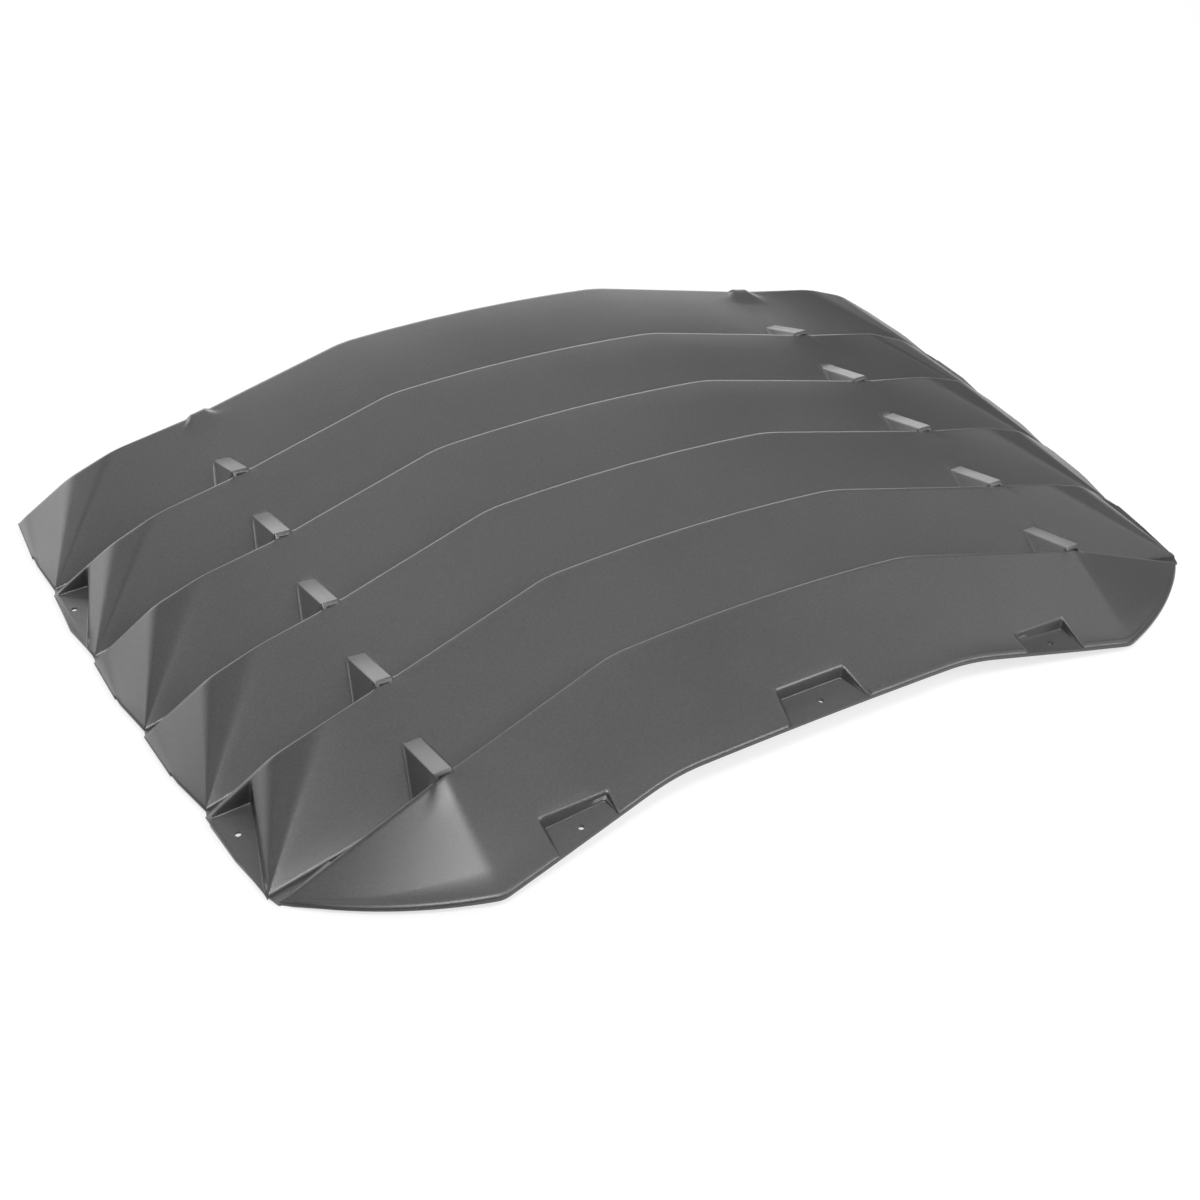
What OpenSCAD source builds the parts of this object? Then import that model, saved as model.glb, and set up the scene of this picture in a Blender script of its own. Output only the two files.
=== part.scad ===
// Rear window louver: one arched, slatted moulding in dark plastic.
// Frame: x across the car, y towards the tail, z up. Origin under the middle of
// the part, on the plane that the bases of its four side recesses rest on. Millimetres.

/* [Overall] */
// Width over the widest slat, mm
overall_width = 1200; // [1080:10:1320]
// Step from one free edge to the next, mm
slat_pitch = 130; // [122:1:140]
// Amount by which each further step shortens, mm
pitch_taper = 0.6; // [0:0.1:1]
// Extra depth of the rearmost slat, mm
rear_extra = 20; // [0:1:30]
// Wall thickness of the moulding, mm
wall = 4; // [3:0.5:5]
// Outward bow of the side outline per step squared, mm
side_bow = 2.6; // [1.5:0.1:3.2]

/* [Arch] */
// Height of the crown corners above the side corners, mm
crown_height = 86; // [78:1:100]
// Half the width of the nearly flat crown, mm
crown_half = 180; // [160:2:200]
// Sweep of the free edge from the side corner back to the crown corner, mm
crown_sweep = 77; // [60:1:90]
// Height of the haunch crease, mm
haunch_height = 58; // [50:1:62]
// Height of the shoulder crease, mm
shoulder_height = 43; // [34:1:48]
// Rise of each free edge over the one in front, mm
rise_per_slat = 2.3; // [1:0.1:3]
// Extra rise of the crown at the centre line, mm
crown_bulge = 4; // [1:0.5:8]
// Height of the free edge above the slat that dives under it, mm
slat_gap = 33; // [28:1:38]

/* [Bridges] */
// Width of the flat top of a bridge, mm
bridge_width = 18; // [14:1:24]
// Distance of the bridges from the centre line, mm
bridge_x = 383; // [365:1:400]
// Height of the tab that a bridge meets, mm
tab_height = 4.5; // [3.5:0.5:7]
// Length of a bridge in plan, mm
bridge_length = 65; // [55:1:75]
// Draft of the bridge sides, mm out per mm down
bridge_draft = 0.5; // [0.3:0.05:0.6]

/* [Front edge] */
// Depth of the rolled front lip, mm
lip_depth = 8; // [7:0.5:10]
// Width of the rolled front lip, mm
lip_width = 6; // [5:0.5:8]
// Bow of the front side curves, mm
corner_bow = 11; // [4:0.5:13]

/* [Fixing] */
// Diameter of every screw hole, mm
hole_d = 6; // [4.5:0.5:8]
// Width of a front pocket at its front rim, mm
pocket_width = 68; // [60:1:74]
// Distance of the outer pockets from the centre line, mm
pocket_x = 285; // [270:1:295]
// Length of a front pocket from its rear wall to the front rim, mm
pocket_length = 30; // [26:1:34]

/* [Hidden] */
half = overall_width / 2;
steps = 5;                  // free edges behind the front one
widest = 4.4;               // step at which the outline is widest
centre_parts = 4;           // divisions of half the crown
flank_parts = 3;            // divisions between haunch and bridge
wing_parts = 4;             // divisions between bridge and crown
side_z = 3;                 // height of the side outline in the slats' own frame
foot_z = -3;                // height of the plane the part rests on, in the same frame
plastic = [0.12, 0.12, 0.13];

// ---- stations along the length -------------------------------------------------

function edge_y(j) = slat_pitch * j - pitch_taper * j * j + (j == steps ? rear_extra : 0);
function lift(j) = rise_per_slat * j - (j == 0 ? 5 : 0) - (j == steps ? 7 : 0);
function corner_x(j) = half - side_bow * (j - widest) * (j - widest);
function haunch_x(j) = half - 168 + 20.4 * j - 2.05 * j * j;
function shoulder_x(j) = haunch_x(j) + 53.5;
function tab_x(j) = bridge_x - j;
function crown_x(j) = crown_half - 0.6 * j;

function mix(a, b, f) = a + (b - a) * f;
function flip(p) = [-p[0], p[1], p[2]];
function reversed(v) = [for (i = [len(v) - 1 : -1 : 0]) v[i]];
function drop(v, d) = [for (p = v) [p[0], p[1], p[2] - d]];

// right half of a list, outermost point first, and its middle point,
// give the whole line from left to right
function whole(right, middle) = concat([for (p = right) flip(p)], [middle], reversed(right));

// ---- the free rear edge of slat j ----------------------------------------------

function corner(j) = j == 0 ? [corner_x(0) + 2, 0, 1.5] : [corner_x(j) + 1, edge_y(j) - 4, side_z];
// the shoulders of the two rearmost edges lie lower
function rear_dip(j) = j == 4 ? 7 : j == 5 ? 3.5 : 0;
function shoulder(j) = [shoulder_x(j), edge_y(j) - 3 + (j == 1 ? 2 : 0),
    shoulder_height + lift(j) - rear_dip(j)];
function haunch(j) = [haunch_x(j), edge_y(j) + 4, haunch_height + lift(j) - 0.5 * rear_dip(j)];
function crown(j) = [crown_x(j), edge_y(j) + crown_sweep, crown_height + lift(j)];

// the edge bends slightly where a bridge meets it
function knee(j) = [tab_x(j), edge_y(j) + 22 + 0.6 * j, mix(haunch_height, crown_height, 0.23) + lift(j)];
// point of the edge between its haunch, or the corner on the front slat, and the crown
function run(j, x) = let (a = j == 0 ? corner(0) : haunch(j), k = knee(j), b = crown(j))
    x > k[0] ? mix(a, k, (a[0] - x) / (a[0] - k[0])) : mix(k, b, (k[0] - x) / (k[0] - b[0]));

tab_half = bridge_width / 2 + 0.4;
function tab_z(j) = knee(j)[2] + tab_height;
function tab(j) = [
    run(j, tab_x(j) + tab_half + 4),
    [tab_x(j) + tab_half, run(j, tab_x(j) + tab_half)[1], tab_z(j)],
    [tab_x(j) - tab_half, run(j, tab_x(j) - tab_half)[1], tab_z(j)],
    run(j, tab_x(j) - tab_half - 3)];

// slightly curved middle of an edge, from the crown point a inwards
function bulge(a, rear, up) = [for (i = [1 : centre_parts - 1]) let (f = i / centre_parts)
    [a[0] * (1 - f), a[1] + rear * (1 - (1 - f) * (1 - f)), a[2] + up * (1 - (1 - f) * (1 - f))]];
function bulge_mid(a, rear, up) = [0, a[1] + rear, a[2] + up];

// points that divide the straight line from a to b into n parts, without its ends
function between(a, b, n) = [for (i = [1 : 1 : n - 1]) mix(a, b, i / n)];

function free_right(j) = concat(
    j == 0 ? [corner(0)]
        : concat([corner(j), shoulder(j), haunch(j)], between(haunch(j), tab(j)[0], flank_parts)),
    tab(j), between(tab(j)[3], crown(j), wing_parts),
    [crown(j)], bulge(crown(j), 5, crown_bulge));
function free_edge(j) = whole(free_right(j), bulge_mid(crown(j), 5, crown_bulge));

// ---- the low front edge of slat j, just behind the free edge of slat j - 1 -------

function low_corner(j) = corner(j - 1) + (j == 1 ? [5, 8, 1.5] : [-3, 6, 0]);
function low_bridge(j) = [tab_x(j - 1) + 8, edge_y(j - 1) + 26,
    run(j - 1, tab_x(j - 1))[2] - slat_gap];
function low_crown(j) = [crown_x(j - 1), edge_y(j - 1) + crown_sweep + 5,
    crown(j - 1)[2] - slat_gap];
// the side outline between the two corners bows out a little
function side_mid(j) = mix(corner(j), low_corner(j), 0.52) + [j == 1 ? 1.5 : 4.5, 0, 0];
function low_right(j) = concat(
    [side_mid(j), low_corner(j)], between(low_corner(j), low_bridge(j), flank_parts),
    [low_bridge(j)], between(low_bridge(j), low_crown(j), wing_parts),
    [low_crown(j)], bulge(low_crown(j), 5, crown_bulge));
function low_edge(j) = whole(low_right(j), bulge_mid(low_crown(j), 5, crown_bulge));

// ---- the rolled front edge of slat 0 ---------------------------------------------

front_bend = [half - 219, -92, 8.5];
front_crown = [crown_half + 1, -51, 33];
front_bulge = 1.5;
curve_parts = 6;
function curve_point(i) = let (f = i / curve_parts, bow = corner_bow * 4 * f * (1 - f))
    mix(corner(0), front_bend, f) + [0.47 * bow, -0.88 * bow, 0];
front_right = concat([for (i = [1 : curve_parts - 1]) curve_point(i)],
    [front_bend], between(front_bend, front_crown, wing_parts),
    [front_crown], bulge(front_crown, 1, front_bulge));
front_edge = whole(front_right, bulge_mid(front_crown, 1, front_bulge));
// the same line moved inwards under the slat, to give the lip its width
function inward(p, i) = p + (i < curve_parts - 1
    ? [-0.47 * lip_width, 0.88 * lip_width, 0.38 * lip_width]
    : i == curve_parts - 1 ? [-0.2 * lip_width, lip_width, 0.4 * lip_width]
    : [0, lip_width, 0.42 * lip_width]);
front_inner = whole([for (i = [0 : len(front_right) - 1]) inward(front_right[i], i)],
    inward(bulge_mid(front_crown, 1, front_bulge), 99));
// the lip starts thinner at the side corners
function lip_at(i) = i < curve_parts ? mix(4.5, lip_depth, (i + 1) / curve_parts) : lip_depth;
front_lip = whole([for (i = [0 : len(front_right) - 1]) front_right[i] - [0, 0, lip_at(i)]],
    bulge_mid(front_crown, 1, front_bulge) - [0, 0, lip_depth]);
front_lip_inner = whole([for (i = [0 : len(front_right) - 1])
    [front_inner[i][0] * -1, front_inner[i][1], front_right[i][2] - lip_at(i)]],
    [0, front_inner[len(front_right)][1], front_edge[len(front_right)][2] - lip_depth]);

// ---- surface strips --------------------------------------------------------------
// Triangles of the right half: free points are numbered from 0, low points from 100.

// strip of n pairs of triangles between the free points from a and the low points from b
function ladder(a, b, n) = [for (i = [0 : n - 1]) each [[a + i, a + 1 + i, b + i], [a + 1 + i, b + 1 + i, b + i]]];

// numbers of the first points of each stretch
s_tab = 2 + flank_parts;
s_low = 101 + flank_parts;
slat_strip = concat(
    [[0, 1, 100], [100, 1, 101], [1, 2, 101]],
    ladder(2, 101, flank_parts),
    [for (i = [0 : 2]) [s_tab + i, s_tab + 1 + i, s_low]],
    ladder(s_tab + 3, s_low, wing_parts + centre_parts));
front_strip = concat(
    [[0, 1, 100]],
    [for (i = [0 : curve_parts - 2]) [100 + i, 1, 101 + i]],
    [for (i = [0 : 2]) [1 + i, 2 + i, 99 + curve_parts]],
    ladder(4, 99 + curve_parts, wing_parts + centre_parts));

// number in the point list: nf free points, nl low points, the left half mirrored
function at(i, side, nf, nl) = i < 100
    ? (side < 0 ? i : nf - 1 - i)
    : nf + (side < 0 ? i - 100 : nl - 1 - (i - 100));
function skin(strip, nf, nl) = concat(
    [for (t = strip) [at(t[0], 1, nf, nl), at(t[2], 1, nf, nl), at(t[1], 1, nf, nl)]],
    [for (t = strip) [at(t[0], -1, nf, nl), at(t[1], -1, nf, nl), at(t[2], -1, nf, nl)]]);
function shifted(faces, n) = [for (f = faces) [for (i = reversed(f)) i + n]];

// slat behind a bridge row: plain sheet of one wall thickness
module slat(j) {
    free = free_edge(j);
    low = low_edge(j);
    nf = len(free);
    nl = len(low);
    n = nf + nl;
    top = skin(slat_strip, nf, nl);
    rim = concat([for (i = [0 : nf - 1]) i], [for (i = [nl - 1 : -1 : 0]) nf + i]);
    polyhedron(
        points = concat(free, low, drop(free, wall), drop(low, wall)),
        faces = concat(top, shifted(top, n),
            [for (i = [0 : n - 1]) [rim[(i + 1) % n], rim[i], rim[i] + n, rim[(i + 1) % n] + n]]));
}

// front slat: the sheet with the lip along its front edge
module front_slat() {
    free = free_edge(0);
    nf = len(free);
    nl = len(front_edge);
    top = skin(front_strip, nf, nl);
    // rows: free, front, free below, inner below, lip, lip inner
    fb = nf + nl;
    ib = fb + nf;
    lb = ib + nl;
    li = lb + nl;
    polyhedron(
        points = concat(free, front_edge, drop(free, wall), drop(front_inner, wall),
            front_lip, front_lip_inner),
        faces = concat(top, shifted(top, fb),
            [for (i = [0 : nf - 2]) [i + 1, i, i + fb, i + 1 + fb]],
            [for (i = [0 : nl - 2]) each [
                [nf + i, nf + i + 1, lb + i + 1, lb + i],
                [lb + i, lb + i + 1, li + i + 1],
                [lb + i, li + i + 1, li + i],
                [li + i, li + i + 1, ib + i + 1],
                [li + i, ib + i + 1, ib + i]]],
            [[0, nf, lb, fb], [fb, lb, li], [fb, li, ib],
             [nf - 1 + fb, lb + nl - 1, nf + nl - 1, nf - 1],
             [nf - 1 + fb, li + nl - 1, lb + nl - 1],
             [nf - 1 + fb, ib + nl - 1, li + nl - 1]]));
}

// the piece drawn for the right side, or its mirror image
module sided(side) {
    mirror([side < 0 ? 1 : 0, 0, 0])
        children();
}

// ---- bridges ---------------------------------------------------------------------

// closed solid through cross-sections of four points each
module through(sections) {
    n = len(sections);
    polyhedron(
        points = [for (s = sections) each s],
        faces = concat([[0, 1, 2], [0, 2, 3]],
            [for (k = [0 : n - 2]) each [for (i = [0 : 3]) each let (a = 4 * k + i, b = 4 * k + (i + 1) % 4)
                [[b, a, a + 4], [b, a + 4, b + 4]]]],
            [[4 * n - 1, 4 * n - 2, 4 * n - 3], [4 * n - 1, 4 * n - 3, 4 * n - 4]]));
}

// height of the slat behind edge j under its bridge, at the distance d behind the edge
function sheet_slope(j) = (run(j + 1, tab_x(j))[2] - low_bridge(j + 1)[2])
    / (run(j + 1, tab_x(j))[1] - low_bridge(j + 1)[1]);
function sheet_z(j, y) = low_bridge(j + 1)[2] + sheet_slope(j) * (y - low_bridge(j + 1)[1]);

// section of the rib at y: top at zt, flanks drafted below the line zl, down to zb
function rib_section(j, y, zt, zl, zb, w) = [
    [tab_x(j) - w - bridge_draft * (zl - zt), y, zt],
    [tab_x(j) + w + bridge_draft * (zl - zt), y, zt],
    [tab_x(j) + w + bridge_draft * (zl - zb), y, zb],
    [tab_x(j) - w - bridge_draft * (zl - zb), y, zb]];

module bridge(j) {
    y_near = run(j, tab_x(j))[1] + 0.7;
    y_far = y_near + bridge_length;
    w = bridge_width / 2;
    z_near = tab_z(j) - 0.3;
    z_far = sheet_z(j, y_far);
    pitch_z = (z_far - z_near) / (y_far - y_near);
    line = function (y) z_near + pitch_z * (y - y_near);
    difference() {
        through([
            rib_section(j, y_near - 4.5, z_near - 2.4, z_near, sheet_z(j, y_near - 4.5) - 2, w),
            rib_section(j, y_near, z_near, z_near, sheet_z(j, y_near) - 2, w),
            rib_section(j, y_far + 2.5, line(y_far + 2.5), line(y_far + 2.5),
                sheet_z(j, y_far + 2.5) - wall + 0.7, w)]);
        through([
            rib_section(j, y_near - 9, line(y_near - 9) - wall, line(y_near - 9) - wall,
                sheet_z(j, y_near - 9) - wall - 1, w - wall - 0.2),
            rib_section(j, y_far - 12, line(y_far - 12) - wall, line(y_far - 12) - wall,
                sheet_z(j, y_far - 12) - wall - 1, w - wall - 0.2)]);
    }
}

// sloping web that ties the outer end of free edge j to the slat behind it; it reaches
// so far in that the gap between the two sheets is closed where it is flat
module gusset(j, side) {
    c = corner(j);
    s = j == 0 ? tab(0)[0] : shoulder(j);
    l = low_corner(j + 1);
    b = low_bridge(j + 1);
    reach = j == 0 ? 54 : 34;
    // points of the two sheets' edges at the inner end of the web
    e = mix(c, s, reach / (c[0] - s[0]));
    f = mix(l, b, reach / (c[0] - b[0]));
    sided(side)
        through([
            [[c[0] - 2, c[1] - 2, c[2] - 0.7], [c[0] - 5, l[1] + 3, l[2] - 0.6],
             [c[0] - 5, l[1] + 3, l[2] - 3.2], [c[0] - 2, c[1] - 2, c[2] - 3.2]],
            [[e[0], e[1] - 1, e[2] - 1.2], [e[0], f[1] + 2.5, f[2] - 0.8],
             [e[0], f[1] + 2.5, f[2] - 3.4], [e[0], e[1] - 1, e[2] - 4.6]]]);
}

// ---- side screw recesses on slats 4 and 1 ------------------------------------------

flange_slats = [4, 1];
flange_depth = 5;           // thickness of the base plate at its front tip
flange_tilt = 3.2;          // rise of its top towards the rear
flange_fall = 0.025;        // fall of its top towards the outside, mm per mm
function flange_inner(j) = corner(j) + [j == 1 ? -45 : -39, -4, 0];
function flange_tip(j) = low_corner(j) + [j == 1 ? -5 : 1, 14, 0];
function flange_outer(j) = corner(j) + [29, -8, 0];
function flange_hole(j) = [side_mid(j)[0] - 12, corner(j)[1] - 36];
// height of the base plate's flat top at a point in plan
function plate_z(j, p) = let (i = flange_inner(j), t = flange_tip(j), f = (p[1] - t[1]) / (i[1] - t[1]))
    foot_z + flange_depth + flange_tilt * f - flange_fall * (p[0] - mix(t[0], i[0], f));
// height of the slat over a point near its side corner
function facet_z(j, p) = let (a = corner(j), u = shoulder(j) - a, v = low_corner(j) - a,
    n = cross(u, v)) a[2] - (n[0] * (p[0] - a[0]) + n[1] * (p[1] - a[1])) / n[2];

module flange_cut(j, side) {
    i = flange_inner(j);
    t = flange_tip(j);
    o = flange_outer(j);
    sided(side)
        translate([0, 0, foot_z - 3])
        linear_extrude(height = 60)
        polygon([[i[0], i[1]], [t[0], t[1]], [o[0], t[1]], [o[0], o[1]]]);
}

// base plate with its underside flat on the foot plane
module flange_plate(j) {
    i = flange_inner(j);
    t = flange_tip(j);
    m = side_mid(j);
    c = corner(j);
    l = low_corner(j);
    outline = [[i[0] - 3, i[1] + 2], [t[0] - 5, t[1] - 6], [l[0] + 0.5, l[1] + 1.5],
        [l[0] + 0.5, t[1]], [m[0] + 0.5, m[1]], [c[0] - 1, c[1] - 9], [c[0] - 5, c[1] - 4]];
    n = len(outline);
    polyhedron(
        points = concat([for (p = outline) [p[0], p[1], foot_z]],
            [for (p = outline) [p[0], p[1], plate_z(j, p)]]),
        faces = concat([[for (k = [0 : n - 1]) k]],
            [for (k = [1 : n - 2]) [n + k + 1, n + k, n]],
            [for (k = [0 : n - 1]) [k, n + k, n + (k + 1) % n, (k + 1) % n]]));
}

// base plate, and the steep walls that rise from it to the slat at the inner side and the rear
module flange(j, side) {
    i = flange_inner(j);
    t = flange_tip(j);
    o = flange_outer(j);
    c = corner(j);
    e = mix(i, o, (c[0] - 4 - i[0]) / (o[0] - i[0]));
    // the inner wall of the front recess runs on under the slat to close it
    f = mix(i, t, j == 1 ? 1.08 : 1);
    thick = 3;
    sided(side) {
        flange_plate(j);
        through([
            [[i[0] + 3, i[1], foot_z + 2], [i[0] - 0.6, i[1], facet_z(j, i) - 1.5],
             [i[0] - 4.6, i[1], facet_z(j, i) - 1.5], [i[0] - 2, i[1], foot_z + 2]],
            [[f[0] + 1, f[1], foot_z + 1], [f[0] - 0.4, f[1], facet_z(j, f) - 1.4],
             [f[0] - 4.4, f[1], facet_z(j, f) - 1.4], [f[0] - 3, f[1], foot_z + 1]]]);
        through([
            [[i[0] - 3, i[1] + thick, foot_z + 1], [i[0] - 3, i[1] + thick, facet_z(j, i) - 1.3],
             [i[0] - 3, i[1] - 0.4, facet_z(j, i) - 1.3], [i[0] - 3, i[1] - 1, foot_z + 1]],
            [[e[0], e[1] + thick, foot_z + 1], [e[0], e[1] + thick, facet_z(j, e) - 1.3],
             [e[0], e[1] - 0.4, facet_z(j, e) - 1.3], [e[0], e[1] - 1, foot_z + 1]]]);
    }
}

// ---- front pockets -----------------------------------------------------------------

function rim(x) = mix(front_bend, front_crown,
    (front_bend[0] - x) / (front_bend[0] - front_crown[0]));
// height of the front slat over the pockets
back_slope = (crown(0)[2] - front_crown[2]) / (crown(0)[1] - front_crown[1]);
side_slope = (front_crown[2] - front_bend[2] + back_slope * (front_bend[1] - front_crown[1]))
    / (front_bend[0] - front_crown[0]);
function front_z(x, y) = front_crown[2] + back_slope * (y - front_crown[1])
    + (x > front_crown[0] ? -side_slope * (x - front_crown[0]) : 0.6 * front_bulge);

// each pocket is cut into the sheet and open to the front, where it ends at the rim
pocket_a = pocket_x - pocket_width / 2;
pocket_b = pocket_x + pocket_width / 2;
pocket_rear = rim(pocket_x)[1] + pocket_length;
middle_half = 49;
middle_rear = front_crown[1] + pocket_length + 9;

// corners of the opening, rear left round to front left, moved out by g; the rear
// ones move in with depth for draft
function pocket_plan(middle, g, in) = middle
    ? [[-40 - g + in, middle_rear + g - in], [40 + g - in, middle_rear + g - in],
       [middle_half + g, 0], [-middle_half - g, 0]]
    : [[pocket_a - g + in, pocket_rear + g - in], [pocket_b + g - in, pocket_rear + g - in],
       [pocket_b + g, 0], [pocket_a - g, 0]];
// the flat floor rises a little to the rear
function floor_z(middle, x, y) = middle
    ? front_crown[2] + 0.2 + 0.06 * (y - front_crown[1])
    : rim(x)[2] - 0.9 + 0.09 * (y - rim(x)[1]);
function pocket_front(middle, x, d) = (middle ? front_crown[1] + 0.5 : rim(x)[1]) + d;

// four corners at the floor height plus dz
function pocket_level(middle, g, in, d, dz) = let (q = pocket_plan(middle, g, in)) [
    for (i = [0 : 3]) let (x = q[i][0], y = i < 2 ? q[i][1] : pocket_front(middle, x, d))
        [x, y, floor_z(middle, x, y) + dz]];

module pocket_box(middle) {
    g = wall;
    low = pocket_level(middle, g, 3, 3, -wall);
    through([[for (p = pocket_level(middle, g, 0, 3, 0))
        [p[0], p[1], max(front_z(abs(p[0]), p[1]) - 1.8, p[2] - 1.8)]], low]);
}

module pocket_cut(middle) {
    floor = pocket_level(middle, 0, 3, -8, 0);
    through([[for (p = pocket_level(middle, 0, -3, -8, 26)) p], floor]);
}

// ---- the whole moulding ------------------------------------------------------------

y_shift = (92 - edge_y(steps) - crown_sweep - 5) / 2;
side_pocket_hole = [pocket_x + 2, rim(pocket_x)[1] + 12];
middle_pocket_hole = [0, front_crown[1] + 18];

module screw_hole(p) {
    translate([p[0], p[1], -40])
        cylinder(d = hole_d, h = 120, $fn = 32);
}

module louver() {
    color(plastic)
    translate([0, y_shift, -foot_z])
    difference() {
        union() {
            difference() {
                union() {
                    front_slat();
                    for (j = [1 : steps])
                        slat(j);
                    for (j = [0 : steps - 1], side = [-1, 1]) {
                        sided(side)
                            bridge(j);
                        gusset(j, side);
                    }
                    for (side = [-1, 1])
                        sided(side)
                            pocket_box(false);
                    pocket_box(true);
                }
                for (j = flange_slats, side = [-1, 1])
                    flange_cut(j, side);
                for (side = [-1, 1])
                    sided(side)
                        pocket_cut(false);
                pocket_cut(true);
            }
            for (j = flange_slats, side = [-1, 1])
                flange(j, side);
        }
        for (side = [-1, 1]) {
            for (j = flange_slats)
                screw_hole([side * flange_hole(j)[0], flange_hole(j)[1]]);
            screw_hole([side * side_pocket_hole[0], side_pocket_hole[1]]);
        }
        screw_hole(middle_pocket_hole);
    }
}

louver();
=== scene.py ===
"""Rear window louver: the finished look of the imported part.

One satin, fine-grained moulding. Its sheets, bridges, pockets and recesses are modelled here with
rounded edges and soft creases, in the place of the plain CAD solid. Sizes are in millimetres in
the part's own frame and become metres when a mesh is made.
"""

import math

import bmesh
import bpy
from mathutils import Matrix, Vector
from mathutils.bvhtree import BVHTree


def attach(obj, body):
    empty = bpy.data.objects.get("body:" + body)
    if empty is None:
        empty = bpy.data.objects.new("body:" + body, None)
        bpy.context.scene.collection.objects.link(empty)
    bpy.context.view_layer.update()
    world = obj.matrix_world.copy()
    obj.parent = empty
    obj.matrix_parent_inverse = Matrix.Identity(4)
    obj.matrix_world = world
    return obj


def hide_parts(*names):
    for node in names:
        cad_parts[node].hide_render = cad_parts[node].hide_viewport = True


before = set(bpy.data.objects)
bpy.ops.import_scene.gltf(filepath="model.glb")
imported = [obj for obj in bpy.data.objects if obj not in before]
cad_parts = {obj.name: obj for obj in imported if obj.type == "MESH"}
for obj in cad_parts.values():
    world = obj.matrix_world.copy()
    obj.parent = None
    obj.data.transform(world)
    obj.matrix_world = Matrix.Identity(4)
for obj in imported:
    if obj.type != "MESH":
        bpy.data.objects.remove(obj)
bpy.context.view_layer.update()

MM = 0.001
TINY = 1e-6
UP = Vector((0, 0, 1))

# Stations along the length: free rear edges 0 (front) to 5 (rear)
HALF = 600
LAST = 5
PITCH = 130
PITCH_TAPER = 0.6
REAR_EXTRA = 20
RISE = 2.3
WALL = 4
SIDE_BOW = 2.6
WIDEST = 4.4
SIDE_Z = 3
FOOT_Z = -3

# The arch
CROWN_HEIGHT = 86
CROWN_HALF = 180
CROWN_TAPER = 0.6
CROWN_SWEEP = 77
HAUNCH_HEIGHT = 58
HAUNCH_IN = 168
HAUNCH_STEP = 20.4
HAUNCH_BEND = 2.05
SHOULDER_HEIGHT = 43
SHOULDER_OUT = 53.5
KNEE_SHARE = 0.23
FRONT_DROP = 5
REAR_DROP = 7
REAR_DIPS = {4: 7, 5: 3.5}
CROWN_BULGE = 4
BULGE_REAR = 5
SLAT_GAP = 33

# Bridges, and the tabs of the free edges that they meet
BRIDGE_WIDTH = 18
BRIDGE_X = 383
BRIDGE_LENGTH = 65
BRIDGE_DRAFT = 0.5
BRIDGE_STEP = 2.8
BRIDGE_TAB = 1
REAR_TAB = 3.4

# Front edge
FRONT_REACH = 92
LIP_DEPTH = 8
LIP_WIDTH = 6
CORNER_BOW = 11

# Screw holes, pockets and side recesses
HOLE_D = 6
POCKET_WIDTH = 68
POCKET_X = 285
POCKET_LENGTH = 30
RECESS_SLATS = (1, 4)
PLATE_DEPTH = 5
PLATE_TILT = 3.2
PLATE_FALL = 0.025

# Height of the gentle crowning of each slat from front to rear
CROWNING = (-3, -3.5, 1.2, 4, 4, 2.5)

# Roundings
RIM_R = 5
NOSE_R = 8
NOSE_DROP = 4
BRIDGE_R = 2.4
ROOT_R = 3.5
POCKET_LIP_R = 3.2
RECESS_LIP_R = 1.5
RECESS_FLOOR_R = 2


def mix(a, b, f):
    return a + (b - a) * f


def smooth_step(f):
    f = min(1, max(0, f))
    return f * f * (3 - 2 * f)


def flipped(p):
    return Vector((-p.x, p.y, p.z))


def edge_y(j):
    return PITCH * j - PITCH_TAPER * j * j + (REAR_EXTRA if j == LAST else 0)


Y_SHIFT = (FRONT_REACH - edge_y(LAST) - CROWN_SWEEP - BULGE_REAR) / 2


def at(x, y, z):
    """A point given in the slats' own frame, moved into the part's frame."""
    return Vector((x, y + Y_SHIFT, z - FOOT_Z))


def lift(j):
    return RISE * j - (FRONT_DROP if j == 0 else 0) - (REAR_DROP if j == LAST else 0)


def corner_x(j):
    return HALF - SIDE_BOW * (j - WIDEST) ** 2


def haunch_x(j):
    return HALF - HAUNCH_IN + HAUNCH_STEP * j - HAUNCH_BEND * j * j


def tab_x(j):
    return BRIDGE_X - j


def crown_x(j):
    return CROWN_HALF - CROWN_TAPER * j


# Corners of the free edge of slat j, from the side to the middle


def corner(j):
    if j == 0:
        return at(corner_x(0) + 2, 0, 1.5)
    return at(corner_x(j) + 1, edge_y(j) - 4, SIDE_Z)


def rear_dip(j):
    """How much lower the shoulder of edge j lies."""
    return REAR_DIPS.get(j, 0)


def shoulder(j):
    back = 2 if j == 1 else 0
    return at(haunch_x(j) + SHOULDER_OUT, edge_y(j) - 3 + back, SHOULDER_HEIGHT + lift(j) - rear_dip(j))


def haunch(j):
    return at(haunch_x(j), edge_y(j) + 4, HAUNCH_HEIGHT + lift(j) - rear_dip(j) / 2)


def knee(j):
    height = mix(HAUNCH_HEIGHT, CROWN_HEIGHT, KNEE_SHARE) + lift(j)
    return at(tab_x(j), edge_y(j) + 22 + 0.6 * j, height)


def crown(j):
    return at(crown_x(j), edge_y(j) + CROWN_SWEEP, CROWN_HEIGHT + lift(j))


def bulged(a, rear, up, f):
    """A point on the gently curved middle of an edge, from the crown corner a (f = 0) inwards."""
    g = 1 - (1 - f) ** 2
    return Vector((a.x * (1 - f), a.y + rear * g, a.z + up * g))


# Corners of the low front edge of slat j, just behind the free edge of the slat in front


def low_corner(j):
    return corner(j - 1) + (Vector((5, 8, 1.5)) if j == 1 else Vector((-3, 6, 0)))


def low_bridge(j):
    front = knee(j - 1)
    return Vector((front.x + 8, front.y + 4 - 0.6 * (j - 1), front.z - SLAT_GAP))


def low_crown(j):
    return crown(j - 1) + Vector((0, 5, -SLAT_GAP))


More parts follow.
